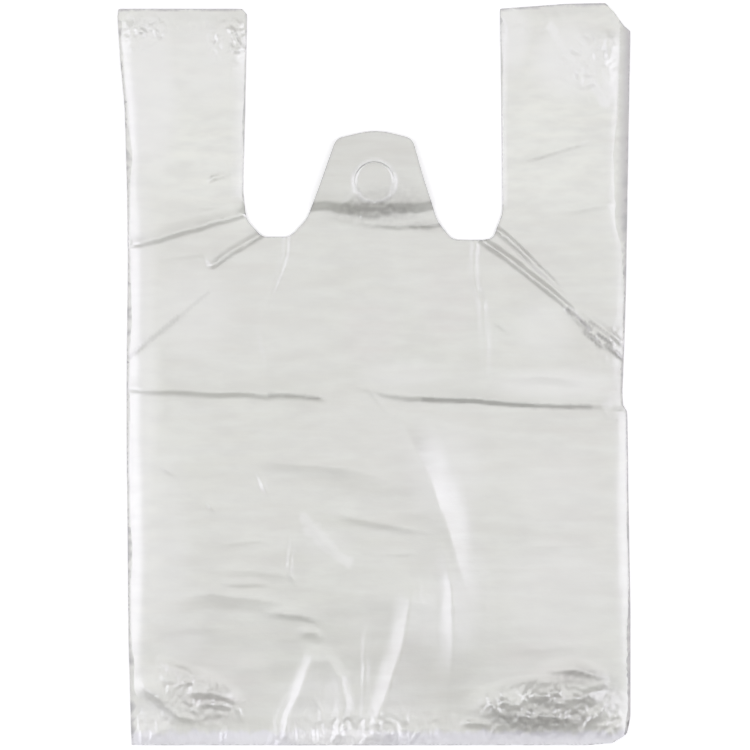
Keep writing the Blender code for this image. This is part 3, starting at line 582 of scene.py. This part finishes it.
def crinkle_heights(x, y):
    """Small heights all over, in millimetres: pulls across the film, and crinkles along its seals and side
    folds."""
    mx, my = x / MM, y / MM
    foot, top = from_seals(x, y)
    sway = gradient_noise(mx / 70 + 3.1, my / 48 + 1.7, 5) * 0.50 + film_noise(x, y, 30, 20, 6) * 0.14
    pulls = gradient_noise(mx / 50 + my / 150, my / 10, 7) * 0.085 + film_noise(x, y, 30, 4.6, 8) * 0.028
    seal = np.exp(-np.abs(foot - FOOT_SEAL) / 8.0)
    gathered = 0.55 + 0.75 * np.exp(-((mx + 10) / 55) ** 4)
    seams = film_noise(x, y, 3.8, 26, 9) * 0.34 * seal * gathered
    seams += film_noise(x, y, 1.9, 9, 10) * 0.16 * seal
    ticks = np.clip(1 - np.abs(film_noise(x, y, 3.2, 16, 17)) * 2.4, 0, 1) ** 2
    left_of_middle = 1 + 1.3 * np.exp(-((mx + 38) / 26) ** 2)
    seams += 0.34 * ticks * np.exp(-((foot - 4.0) / 5.0) ** 2) * gathered * left_of_middle
    tops = np.exp(-np.abs(top - HANDLE_SEAL) / 9.0) * (y > NOTCH_Y)
    slanted = gradient_noise(mx / 5 + my / 9, my / 14, 11)
    seams += (slanted * 0.22 + film_noise(x, y, 2.2, 6, 12) * 0.07) * tops
    hems = np.exp(-np.clip(from_sides(x, y), 0, None) / 2.6)
    seams += film_noise(x, y, 6, 2.1, 13) * 0.24 * hems
    return sway + pulls + seams


def hem_width(x, y):
    """Width in millimetres of the strip at the side folds where only the lower layers lie."""
    wide = RIGHT_HEM_WIDENING * smooth((y - pixel(0, 258).y) / (26 * MM))
    return np.where(x > 0, RIGHT_HEM + wide, LEFT_HEM)


def side_rise(side, x, y):
    """Rise of the front panel over its side folds, in millimetres: a bevel that eases off inwards."""
    run = np.linspace(0.0, 18.0, 73)
    gentle = 1 - smooth(x / MM / 90) * (0.41 + 0.19 * smooth((y - pixel(0, 412).y) / (10 * MM)))
    gentle -= smooth(-x / MM / 90) * (0.20 + 0.22 * smooth((y - NOTCH_Y) / (30 * MM)))
    slope = EDGE_SLOPE * (1 - np.clip((run - EDGE_FULL_RUN) / EDGE_EASE_RUN, 0, 1)) ** 1.5
    rise = np.concatenate([[0.0], np.cumsum((slope[1:] + slope[:-1]) / 2) * run[1]])
    return np.interp(side - hem_width(x, y), run, rise) * gentle


def tab_rise(x, y):
    """Rise of the tab off the floor, in millimetres: a ragged step at its foot and a gentle climb."""
    above = (y - NOTCH_Y) / MM
    ramp = 5.4 + 7.5 * np.exp(-((x - HOLE_CENTRE.x) / MM / 19) ** 2)
    ramp += film_noise(x, y, 8, 8, 14) * 2.0 + film_noise(x, y, 3, 5, 16) * 0.7
    tab = 0.60 * smooth((above - 22.0 + ramp) / ramp) + 0.28 * smooth((above - 15.0) / 16.0)
    tab += 0.12 * smooth(above / 21.0)
    return TAB_LIFT * tab * (np.abs(x - HOLE_CENTRE.x) < TAB_REACH)


def loop_drop(x, y):
    """Drop of the handles towards their inner cut edges, in millimetres: deeper on the left handle."""
    above = (y - NOTCH_Y) / MM
    loops = smooth((above - 12) / 10) * (np.abs(x - HOLE_CENTRE.x) > 0.060)
    to_cut = np.where(x < 0, pixel(LEFT_CUT_PIXEL, 0).x - x, x - pixel(RIGHT_CUT_PIXEL, 0).x) / MM
    drop, reach = np.where(x < 0, 1.6, 0.85), np.where(x < 0, 10.0, 5.0)
    return loops * drop * np.clip(1 - np.clip(to_cut, 0, None) / reach, 0, 1) ** 1.3


def front_height(x, y):
    """Height of the front panel above the floor, in millimetres."""
    side = np.clip(from_sides(x, y), 0.0, None)
    foot, top = [np.clip(values, 0, None) for values in from_seals(x, y)]
    height = SIDE_FOLD_LEVEL + side_rise(side, x, y)
    centre = smooth((side - GUSSET_DEPTH + 8) / 22)
    near_mouth = smooth(1 + (y - NOTCH_Y) / MM / 110)
    height -= CENTRE_SINK * centre * near_mouth
    up = (y - FOOT_Y) / (NOTCH_Y - FOOT_Y)
    belly = smooth(up / 0.30) * smooth((1 - up) / 0.70)
    height += BODY_LOFT * belly * np.clip(1 - ((x - MIDDLE_X) / HALF_WIDTH) ** 2, 0, 1)
    height += tab_rise(x, y)
    height -= loop_drop(x, y)
    pressed_foot = 1 - 0.74 * np.exp(-(foot / 58) ** 2)
    pressed_top = 1 - 0.62 * np.exp(-top / 15) * (y > NOTCH_Y)
    height = SEAL_LEVEL + (height - SEAL_LEVEL) * pressed_foot * pressed_top
    crumples, rough = crumple_heights(x, y)
    broken = 1 + 0.50 * rough * film_noise(x, y, 4.4, 3.6, 15)
    detail = ridge_heights(x, y) * broken + crumples + crinkle_heights(x, y)
    share = 0.35 + 0.65 * smooth(side / 3.0)
    share = share * (0.70 + 0.30 * smooth(foot / 7.0)) * (0.35 + 0.65 * smooth(top / 6.0))
    height += detail * share
    from_hole = np.hypot(x - HOLE_CENTRE.x, y - HOLE_CENTRE.y) / MM
    height += 0.46 * np.exp(-((from_hole - TAB_HOLE_RADIUS * 1.03) / 1.45) ** 2)
    return np.maximum(height, SEAL_LEVEL * 0.8)


def back_height(x, y):
    """Height of the back panel above the floor, in millimetres: flat, and turned up at its side folds."""
    side = np.clip(from_sides(x, y), 0.0, None)
    turned = (LOWER_GUSSET_LEVEL - BACK_LEVEL) * (1 - smooth(side / 1.8))
    ripple = np.abs(film_noise(x, y, 40, 30, 21)) * 0.05
    return (BACK_LEVEL + ripple + turned) * (1 - pressed_share(x, y) * 0.5)


def pressed_share(x, y):
    """1 in the seals and 0 between them."""
    foot, top = from_seals(x, y)
    return 1 - smooth((np.minimum(foot - 2.0, top - 1.0)) / (FOOT_SEAL - 2.0))


def gusset_height(x, y, fold_x, outer, level, edge_level):
    """Height of one layer of a gusset: from its side fold to its inner fold, in millimetres."""
    from_fold = np.abs(x - fold_x) / MM
    edge_x = across_at(outer, y)
    from_edge = np.abs(x - edge_x) / MM
    height = GUSSET_FOLD_LEVEL + (level - GUSSET_FOLD_LEVEL) * smooth(from_fold / 6.0)
    height += (edge_level - level) * (1 - smooth(from_edge / 2.0))
    pressed = pressed_share(x, y)
    return height * (1 - pressed) + SEAL_LEVEL * 0.6 * pressed


def film_mesh(grid, west, east, lines, slit):
    """Flat triangles of film inside the outline, between west and east: places (n, 2) and faces (m, 3). The
    triangles' edges follow the lines."""
    edge_step = max(grid, 1.0) * MM
    border = stepped(OUTLINE_POINTS, edge_step, closed=True)
    low = Vector((min(point.x for point in border), min(point.y for point in border)))
    high = Vector((max(point.x for point in border), max(point.y for point in border)))
    columns = np.arange(max(low.x, west), min(high.x, east), grid * MM)
    rows = np.arange(low.y, high.y, grid * MM)
    x, y = [values.ravel() for values in np.meshgrid(columns, rows)]
    x = x + np.where((np.round((y - low.y) / (grid * MM)).astype(int) % 2) == 1, grid * MM / 2, 0.0)
    keep = inside(x, y) & (x > west) & (x < east)
    x, y = x[keep], y[keep]
    keep = OUTLINE_ROUTE.nearest(x, y)[0] > 0.45 * grid * MM
    x, y = x[keep], y[keep]
    for line in lines:
        near = around(x, y, line, grid * MM)
        if near.any():
            close = np.zeros(x.shape, dtype=bool)
            close[near] = Route(line).nearest(x[near], y[near])[0] < 0.5 * grid * MM
            x, y = x[~close], y[~close]
    points = [Vector(pair) for pair in zip(x.tolist(), y.tolist())]
    edges = []
    first = len(points)
    points += border
    edges += [(first + step, first + (step + 1) % len(border)) for step in range(len(border))]
    for line in lines:
        first = len(points)
        points += stepped(line, grid * MM)
        edges += [(start, start + 1) for start in range(first, len(points) - 1)]
    flat, _, faces, *_ = delaunay_2d_cdt(points, edges, [], 0, 0.00002, False)
    places = np.array([tuple(point) for point in flat])
    faces = np.array([face for face in faces if len(face) == 3])
    middles = places[faces].mean(axis=1)
    keep = inside(middles[:, 0], middles[:, 1]) & (middles[:, 0] > west) & (middles[:, 0] < east)
    if slit:
        from_hole = (middles - np.array(HOLE_CENTRE)) / MM
        from_slug = from_hole - np.array(SLUG_SHIFT)
        angle = np.degrees(np.arctan2(-from_hole[:, 0], -from_hole[:, 1]))
        cut = np.hypot(from_hole[:, 0], from_hole[:, 1]) < TAB_HOLE_RADIUS + TAB_HOLE_SLIT / 2
        cut &= np.hypot(from_slug[:, 0], from_slug[:, 1]) > TAB_HOLE_RADIUS - TAB_HOLE_SLIT / 2
        keep &= ~(cut & (np.abs(angle) > TAB_HOLE_HINGE_DEGREES / 2))
    return places, faces[keep]


def slit_lines():
    """The two sides of the punched slit, as arcs."""
    lines = []
    for half_slit, shift in ((-TAB_HOLE_SLIT / 2, SLUG_SHIFT), (TAB_HOLE_SLIT / 2, (0, 0))):
        centre, radius = HOLE_CENTRE + Vector(shift) * MM, TAB_HOLE_RADIUS + half_slit
        turns = [2 * math.pi * step / 60 for step in range(61)]
        lines.append([centre + Vector((math.sin(turn), -math.cos(turn))) * (radius * MM) for turn in turns])
    return lines


def add_object(name, data):
    """An object with this mesh, lamp or camera, in the scene."""
    made = bpy.data.objects.new(name, data)
    bpy.context.scene.collection.objects.link(made)
    return made


def film_object(name, places, faces, heights, masks):
    """A mesh object of film from its flat places, faces and heights in millimetres, with shading masks."""
    used, faces = np.unique(faces, return_inverse=True)
    faces = faces.reshape(-1, 3)
    coordinates = np.column_stack([places[used], heights[used] * MM])
    mesh = bpy.data.meshes.new(name)
    mesh.from_pydata(coordinates.tolist(), [], faces.tolist())
    mesh.update()
    for mask_name, values in masks.items():
        attribute = mesh.attributes.new(mask_name, "FLOAT", "POINT")
        attribute.data.foreach_set("value", values[used].astype(np.float32))
    mesh.polygons.foreach_set("use_smooth", [True] * len(mesh.polygons))
    return add_object(name, mesh)


def soft_places(places, x, y):
    """The strength of these oval places in their middles, and 0 outside them."""
    share = np.zeros(x.shape)
    for centre, sizes, strength in places:
        middle = pixel(*centre)
        off = np.hypot((x - middle.x) / (sizes[0] * PIXEL), (y - middle.y) / (sizes[1] * PIXEL))
        share = np.maximum(share, strength * smooth(1.5 * (1 - off)))
    return share


def soft_streaks(streaks, x, y):
    """The strength of these streaks along their routes, with ragged sides, and 0 away from them."""
    share = np.zeros(x.shape)
    ragged = film_noise(x, y, 5, 5, 35) * 2.0 + film_noise(x, y, 2, 2, 36)
    for half_width, strength, route in streaks:
        distance = Route([pixel(px, py) for px, py in route]).nearest(x, y)[0] / PIXEL
        uneven = ragged * min(1.0, half_width / 6) / half_width
        share = np.maximum(share, strength * smooth(1.5 - distance / half_width - uneven))
    return share


def film_masks(x, y):
    """Shading masks: how many layers lie under a place, with painted light near the side folds, far more at
    the left, and on the handles, and painted shade on the tab; how far it is in the foot seal; how uncovered
    it is at a hem or handle top, darker there also as painted shade; where the dark beaded line of the cut
    and folded edges is, which also paints their shade; and its warm places, painted highlights and painted
    shade."""
    side = from_sides(x, y)
    stray = film_noise(x, y, 30, 30, 31) * 1.5
    above = (y - NOTCH_Y) / MM
    layers = 0.34 + 0.10 * (1 - smooth((side - GUSSET_DEPTH + 4.0 + stray) / 9.0))
    # Painted highlight near the side folds, far stronger at the left than at the right
    glow = np.where(x < 0, 0.85, 0.15)
    layers += glow * (1 - smooth((side - 6.0 + stray) / 21.0))
    # Painted shade on the tab and painted light on the handles
    tab_painted_darker = layers - 0.30 * smooth((above - 4) / 16)
    handles_painted_lighter = layers + 0.80 * smooth((above + 10) / 60)
    layers = np.where(np.abs(x - HOLE_CENTRE.x) < TAB_REACH, tab_painted_darker, handles_painted_lighter)
    layers *= 1 - 0.97 * (1 - smooth((side - hem_width(x, y) + 0.4) / 0.8)) * (x > 0)

    foot, top = from_seals(x, y)
    ragged = film_noise(x, y, 7, 12, 32) * 2.2 + film_noise(x, y, 2.5, 5, 33) * 0.9
    weld = 1 - smooth((foot - 6.5 - ragged) / 3.5)
    # Darker at the hems and the handles' cut tops, where fewer layers lie, and as painted shade
    bare_and_painted_shade = 1 - smooth((side + ragged * 0.2) / (hem_width(x, y) + 0.4))
    bare_and_painted_shade = np.where(x > 0, bare_and_painted_shade, bare_and_painted_shade * 0.42)
    bare_and_painted_shade = np.maximum(bare_and_painted_shade, 0.9 * (1 - smooth((top - 0.2 + ragged * 0.55) / 1.6)) * (y > NOTCH_Y + 0.06))

    from_edge = OUTLINE_ROUTE.nearest(x, y)[0] / MM
    # Dark beaded line along the cut and folded edges, also painted shade of the edges, stronger at the mouth
    beads_and_painted_edge_shade = smooth((film_noise(x, y, 1.35, 1.35, 34) + 0.10) / 0.35)
    at_mouth = (np.abs(x - HOLE_CENTRE.x) < MOUTH_REACH) & (above > -4)
    beads_and_painted_edge_shade = np.maximum(beads_and_painted_edge_shade, 0.55 * at_mouth) * (1 - smooth(from_edge / 1.1))

    from_ring = np.hypot(x - HOLE_CENTRE.x, y - HOLE_CENTRE.y) / MM - TAB_HOLE_RADIUS * 1.06
    # Painted highlights: paler places and streaks, and a paler line round the punched hole
    pale = np.maximum(soft_places(PAINTED_HIGHLIGHT_PLACES, x, y), 0.9 * np.exp(-(from_ring / 1.1) ** 2))
    pale = np.maximum(pale, soft_streaks(PAINTED_HIGHLIGHT_STREAKS, x, y))
    # Painted shade: darker places and streaks along folds, and at the tab's foot
    dim = soft_places(PAINTED_SHADE_PLACES, x, y) * np.clip(0.80 + 0.7 * film_noise(x, y, 3.2, 2.4, 37), 0, 1)
    dim = np.maximum(dim, soft_streaks(PAINTED_SHADE_STREAKS, x, y))
    return {"layers": layers, "weld": weld, "bare_and_painted_shade": bare_and_painted_shade, "beads_and_painted_edge_shade": beads_and_painted_edge_shade,
            "warm": soft_places(WARM_PLACES, x, y), "pale": pale, "dim": dim}


def crest_lines():
    """Lines for the mesh to follow: the crest of each fold, a line close inside the outline, and the side
    folds' rolls."""
    lines = []
    for _, _, route in RIDGES.values():
        crest = stepped([pixel(px, py) for px, py, _ in route], CREST_STEP * MM)
        across, up = wander(np.array([point.x for point in crest]), np.array([point.y for point in crest]))
        lines.append([point - Vector(shift) for point, shift in zip(crest, zip(across, up))])
    inner = []
    for before, here, after in zip(OUTLINE_POINTS[-1:] + OUTLINE_POINTS, OUTLINE_POINTS, OUTLINE_POINTS[1:]):
        along = (after - before).normalized()
        inner.append(here + Vector((-along.y, along.x)) * (0.8 * MM))
    lines.append(inner)
    for inset in (0.35, 1.8):
        lines.append([point + Vector((inset * MM, 0)) for point in LEFT_FOLD])
        lines.append([point - Vector((inset * MM, 0)) for point in RIGHT_FOLD])
    return lines


def build_panel(name, grid, lines, height):
    """A panel with the punched slit: its triangles follow these lines and lie at this function's heights."""
    places, faces = film_mesh(grid, -1.0, 1.0, lines + slit_lines(), True)
    x, y = places[:, 0], places[:, 1]
    return film_object(name, places, faces, height(x, y), film_masks(x, y))


def build_gusset(name, route, inwards):
    """A side gusset: two layers of film that meet in its inner fold."""
    fold_x = route[0].x + inwards * GUSSET_DEPTH * MM
    west, east = (-1.0, fold_x) if inwards > 0 else (fold_x, 1.0)
    line = [Vector((fold_x, FOOT_Y - 0.01)), Vector((fold_x, LEFT_TOP_Y + 0.02))]
    places, faces = film_mesh(PLAIN_GRID, west, east, [line], False)
    x, y = places[:, 0], places[:, 1]
    upper = gusset_height(x, y, fold_x, route, UPPER_GUSSET_LEVEL, SIDE_FOLD_LEVEL)
    lower = gusset_height(x, y, fold_x, route, LOWER_GUSSET_LEVEL, LOWER_GUSSET_LEVEL)
    both_faces = np.vstack([faces, faces[:, ::-1] + len(places)])
    masks = {key: np.tile(value, 2) for key, value in film_masks(x, y).items()}
    both = film_object(name, np.vstack([places, places]), both_faces, np.concatenate([upper, lower]), masks)
    welded = bmesh.new()
    welded.from_mesh(both.data)
    on_fold = [corner for corner in welded.verts if abs(corner.co.x - fold_x) < 0.00001]
    bmesh.ops.remove_doubles(welded, verts=on_fold, dist=0.00002)
    welded.to_mesh(both.data)
    welded.free()
    return both


# Materials


def new_material(name):
    """A material with its node tree's nodes and links and its shader."""
    material = bpy.data.materials.new(name)
    material.use_nodes = True
    nodes = material.node_tree.nodes
    return material, nodes, material.node_tree.links, nodes["Principled BSDF"]


def set_inputs(node, values):
    """Sets a node's inputs, by name."""
    for name, value in values.items():
        node.inputs[name].default_value = value


def map_range(nodes, links, value, low, high, to_low, to_high):
    """The output of a node that maps a value between low and high to between to_low and to_high."""
    node = nodes.new("ShaderNodeMapRange")
    links.new(value, node.inputs["Value"])
    set_inputs(node, {"From Min": low, "From Max": high, "To Min": to_low, "To Max": to_high})
    return node.outputs["Result"]


def film_material(name):
    """Milky white polyethylene film: cloudy, satin, whiter where four layers lie, bluish in its seals, with
    painted highlights and painted shade mixed into its colour.
    """
    material, nodes, links, shader = new_material(name)
    place = nodes.new("ShaderNodeTexCoord").outputs["Object"]

    def noise(scale, detail, stretch=(1.0, 1.0, 1.0), roughness=0.5):
        mapping = nodes.new("ShaderNodeMapping")
        mapping.inputs["Scale"].default_value = stretch
        links.new(place, mapping.inputs["Vector"])
        texture = nodes.new("ShaderNodeTexNoise")
        set_inputs(texture, {"Scale": scale, "Detail": detail, "Roughness": roughness})
        links.new(mapping.outputs["Vector"], texture.inputs["Vector"])
        return texture.outputs["Fac"]

    def mix(factor, first, second):
        node = nodes.new("ShaderNodeMix")
        node.data_type = "RGBA"
        for socket, value in (("Factor", factor), ("A", first), ("B", second)):
            if isinstance(value, tuple):
                node.inputs[socket].default_value = (*value, 1.0)
            else:
                links.new(value, node.inputs[socket])
        return node.outputs["Result"]

    def share(value, low, high, most):
        return map_range(nodes, links, value, low, high, 0.0, most)

    def mask(mask_name):
        node = nodes.new("ShaderNodeAttribute")
        node.attribute_name = mask_name
        return node.outputs["Fac"]

    # The layer mask also carries painted light: lighter near the left side fold and on the handles, darker on
    # the tab
    colour = mix(mask("layers"), TWO_LAYERS, FOUR_LAYERS)
    colour = mix(share(noise(11.0, 1.5), 0.35, 0.65, 0.40), colour, CLOUD_WARM)
    colour = mix(share(mask("warm"), 0.0, 1.0, 0.50), colour, WARM)
    colour = mix(share(noise(70.0, 3.0, (0.3, 2.0, 1.0)), 0.36, 0.64, 0.50), colour, CLOUD_PALE)
    colour = mix(share(noise(95.0, 2.0, (0.6, 1.5, 1.0)), 0.38, 0.66, 0.36), colour, CLOUD_DIM)
    colour = mix(share(noise(16.0, 3.0), 0.35, 0.65, 0.36), colour, CLOUD_MILKY)
    colour = mix(share(mask("weld"), 0.0, 1.0, 0.70), colour, WELD)
    # Painted highlights, then painted shade, over the film's colour
    colour = mix(mask("pale"), colour, PAINTED_HIGHLIGHT)
    colour = mix(share(mask("dim"), 0.0, 1.0, 0.75), colour, PAINTED_SHADE)
    # Hems and handle tops darker, for fewer layers and as painted shade
    colour = mix(mask("bare_and_painted_shade"), colour, BARE_AND_PAINTED_SHADE)
    # The edges' dark beaded line, which also paints their shade
    colour = mix(share(mask("beads_and_painted_edge_shade"), 0.0, 1.0, 0.85), colour, BEAD_AND_PAINTED_EDGE_SHADE)
    links.new(colour, shader.inputs["Base Color"])
    roughness = map_range(nodes, links, noise(45.0, 2.0), 0.0, 1.0, 0.285, 0.36)
    links.new(roughness, shader.inputs["Roughness"])
    set_inputs(shader, {"Specular IOR Level": 1.0, "IOR": 1.6})
    set_inputs(shader, {"Coat Weight": 1.0, "Coat IOR": 1.7, "Coat Roughness": 0.20})

    bump = nodes.new("ShaderNodeBump")
    set_inputs(bump, {"Strength": 0.18, "Distance": 0.0003})
    grain = nodes.new("ShaderNodeMath")
    grain.operation = "ADD"
    links.new(noise(420.0, 3.0, (0.7, 1.3, 1.0), 0.6), grain.inputs[0])
    links.new(noise(110.0, 3.0, (0.35, 2.0, 1.0)), grain.inputs[1])
    links.new(grain.outputs[0], bump.inputs["Height"])
    links.new(bump.outputs["Normal"], shader.inputs["Normal"])
    return material


def floor_material():
    """A plain white floor that the camera, gloss and glass see as white, and that keeps the bag's shadow."""
    material, nodes, links, shader = new_material("floor_white")
    set_inputs(shader, {"Base Color": FLOOR_COLOUR, "Roughness": 0.9, "Specular IOR Level": 0.0})
    rays = nodes.new("ShaderNodeLightPath")
    seen = rays.outputs["Is Camera Ray"]
    for other in ("Is Glossy Ray", "Is Transmission Ray"):
        either = nodes.new("ShaderNodeMath")
        either.operation = "MAXIMUM"
        links.new(seen, either.inputs[0])
        links.new(rays.outputs[other], either.inputs[1])
        seen = either.outputs[0]
    glow = nodes.new("ShaderNodeMath")
    glow.operation = "MULTIPLY"
    glow.inputs[1].default_value = FLOOR_GLOW
    links.new(seen, glow.inputs[0])
    shader.inputs["Emission Color"].default_value = (1.0, 1.0, 1.0, 1.0)
    links.new(glow.outputs[0], shader.inputs["Emission Strength"])
    return material


# Stage, light and camera


def build_floor():
    """A wide floor under the bag."""
    mesh = bpy.data.meshes.new("floor")
    turns = ((-1, -1), (1, -1), (1, 1), (-1, 1))
    corners = [(FLOOR_HALF * across, FLOOR_HALF * up, 0) for across, up in turns]
    mesh.from_pydata(corners, [], [(0, 1, 2, 3)])
    mesh.materials.append(floor_material())
    floor = add_object("floor", mesh)


def softbox(name, leans, spans, radiance, colour):
    """A rectangular lamp that looks at the bag: its middle leans these degrees from straight above towards +X
    and +Y, and it spans these degrees in both directions."""
    away = Vector((math.tan(math.radians(leans[0])), math.tan(math.radians(leans[1])), 1.0)).normalized()
    sizes = [2 * LAMP_DISTANCE * math.tan(math.radians(span) / 2) for span in spans]
    lamp = bpy.data.lights.new(name, "AREA")
    lamp.shape = "RECTANGLE"
    lamp.size, lamp.size_y = sizes
    lamp.energy = radiance * math.pi * sizes[0] * sizes[1]
    lamp.color = colour
    made = add_object(name, lamp)
    made.location = away * LAMP_DISTANCE
    made.rotation_mode = "QUATERNION"
    across = Vector((0, 1, 0)).cross(away).normalized()
    along = away.cross(across)
    made.rotation_quaternion = Matrix((across, along, away)).transposed().to_quaternion()
    made.visible_camera = False


def light_scene():
    """Soft boxes overhead, brighter towards +Y, broad cool ones at both sides, and a world that is dim
    overhead and pale at its walls."""
    for name, (leans, spans, radiance, colour) in LAMPS.items():
        softbox(name, leans, spans, radiance, colour)
    world = bpy.data.worlds.new("studio")
    world.use_nodes = True
    nodes, links = world.node_tree.nodes, world.node_tree.links
    background = nodes["Background"]
    background.inputs["Color"].default_value = (1.0, 1.0, 1.0, 1.0)
    direction = nodes.new("ShaderNodeSeparateXYZ")
    links.new(nodes.new("ShaderNodeTexCoord").outputs["Generated"], direction.inputs[0])
    strength = map_range(nodes, links, direction.outputs["Z"], WALL_TOP, OVERHEAD_EDGE, WALL_STRENGTH,
                         OVERHEAD_STRENGTH)
    links.new(strength, background.inputs["Strength"])
    bpy.context.scene.world = world
    bpy.context.scene.view_settings.view_transform = "Standard"


def place_camera():
    """A camera straight above the bag that sees the photograph's frame."""
    data = bpy.data.cameras.new("camera")
    data.lens = LENS
    data.sensor_width = SENSOR
    width = FRAME_PIXELS * PIXEL
    camera = add_object("camera", data)
    centre = pixel(FRAME_PIXELS / 2, FRAME_PIXELS / 2)
    camera.location = (centre.x, centre.y, FOCUS_HEIGHT + width * LENS / SENSOR)
    bpy.context.scene.camera = camera


def main():
    film = film_material("white_film")
    pieces = [
        build_panel("front_panel", FRONT_GRID, crest_lines(), front_height),
        build_panel("back_panel", PLAIN_GRID, [], back_height),
        build_gusset("left_gusset", LEFT_FOLD, 1),
        build_gusset("right_gusset", RIGHT_FOLD, -1),
    ]
    for piece in pieces:
        piece.data.materials.append(film)
        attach(piece, "root")
        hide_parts("bag")
    build_floor()
    light_scene()
    place_camera()


main()
